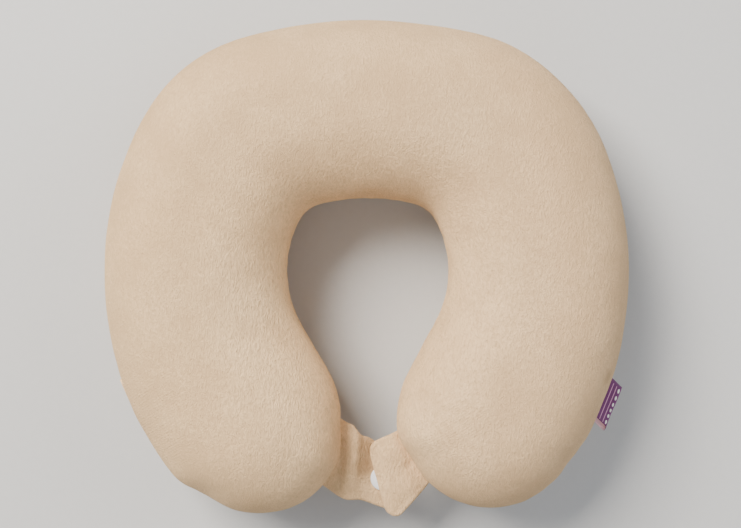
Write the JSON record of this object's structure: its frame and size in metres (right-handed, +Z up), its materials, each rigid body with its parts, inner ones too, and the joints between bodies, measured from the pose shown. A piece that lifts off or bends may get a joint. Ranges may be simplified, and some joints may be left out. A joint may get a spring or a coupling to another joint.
{
  "type": "u shaped neck pillow",
  "caption": "U shaped travel neck pillow: foam core in a liner, zipped velour cover, two tabs that snap together across the mouth, folded side label.",
  "frame": {"origin": "centre of the bounding box's underside, on the surface that the pillow lies on", "axes": "+X towards the right arm as seen from above with the mouth facing the viewer, +Y from the mouth towards the back of the neck, +Z up"},
  "size_m": [0.3, 0.283, 0.095],
  "materials": {
    "velour": "short pile",
    "liner_knit": "thin knit",
    "memory_foam": "open cell foam",
    "thread": "spun thread",
    "zip_tape": "woven tape",
    "zip_coil": "nylon coil",
    "zip_metal": "enamelled zinc",
    "zip_stop": "pressed",
    "snap_plastic": "smooth",
    "label_ribbon": "satin ribbon"
  },
  "bodies": {
    "pillow": {"foam_core": "memory_foam", "liner_top_panel": "liner_knit", "liner_bottom_panel": "liner_knit", "cover_top_panel": "velour", "cover_bottom_panel": "velour", "panel_seam_stitches": "thread", "zipper_tape_upper": "zip_tape", "zipper_tape_lower": "zip_tape", "zipper_coil_upper": "zip_coil", "zipper_coil_lower": "zip_coil", "zipper_top_stops": "zip_stop", "zipper_bottom_stop": "zip_stop", "left_tab_sewn_end": "velour", "right_tab_sewn_end": "velour", "label_sewn_end": "label_ribbon"},
    "left_tab": {"left_tab_face": "velour", "left_tab_lining": "velour", "snap_socket": "snap_plastic", "snap_socket_cap": "snap_plastic"},
    "right_tab": {"right_tab_face": "velour", "right_tab_lining": "velour", "snap_stud": "snap_plastic", "snap_stud_cap": "snap_plastic"},
    "zip_slider": {"zipper_slider": "zip_metal"},
    "zip_pull": {"zipper_pull": "zip_metal"},
    "label": {"side_label": "label_ribbon"}
  },
  "joints": [
    {"name": "left_tab_flap", "type": "hinge", "parent": "pillow", "child": "left_tab", "pos_m": [-0.017, -0.1111, 0.0409], "axis": [-0.4133, -0.9106, 0], "range_deg": [-85, 0]},
    {"name": "right_tab_flap", "type": "hinge", "parent": "pillow", "child": "right_tab", "pos_m": [0.0198, -0.11648, 0.0481], "axis": [-0.5075, 0.8616, 0], "range_deg": [0, 90]},
    {"name": "label_bend", "type": "hinge", "parent": "pillow", "child": "label", "pos_m": [0.13693, -0.07818, 0.0445], "axis": [-0.3744, -0.9273, 0], "range_deg": [-60, 60]},
    {"name": "zip_travel", "type": "hinge", "parent": "pillow", "child": "zip_slider", "pos_m": [0.04755, -0.0037, 0.0445], "axis": [0, 0, 1], "range_deg": [-39, 0], "deforming": ["zipper_coil_upper", "zipper_coil_lower"]},
    {"name": "pull_swing", "type": "hinge", "parent": "zip_slider", "child": "zip_pull", "pos_m": [-0.13409, -0.08463, 0.0445], "axis": [0, 0, 1], "range_deg": [0, 176]}
  ]
}
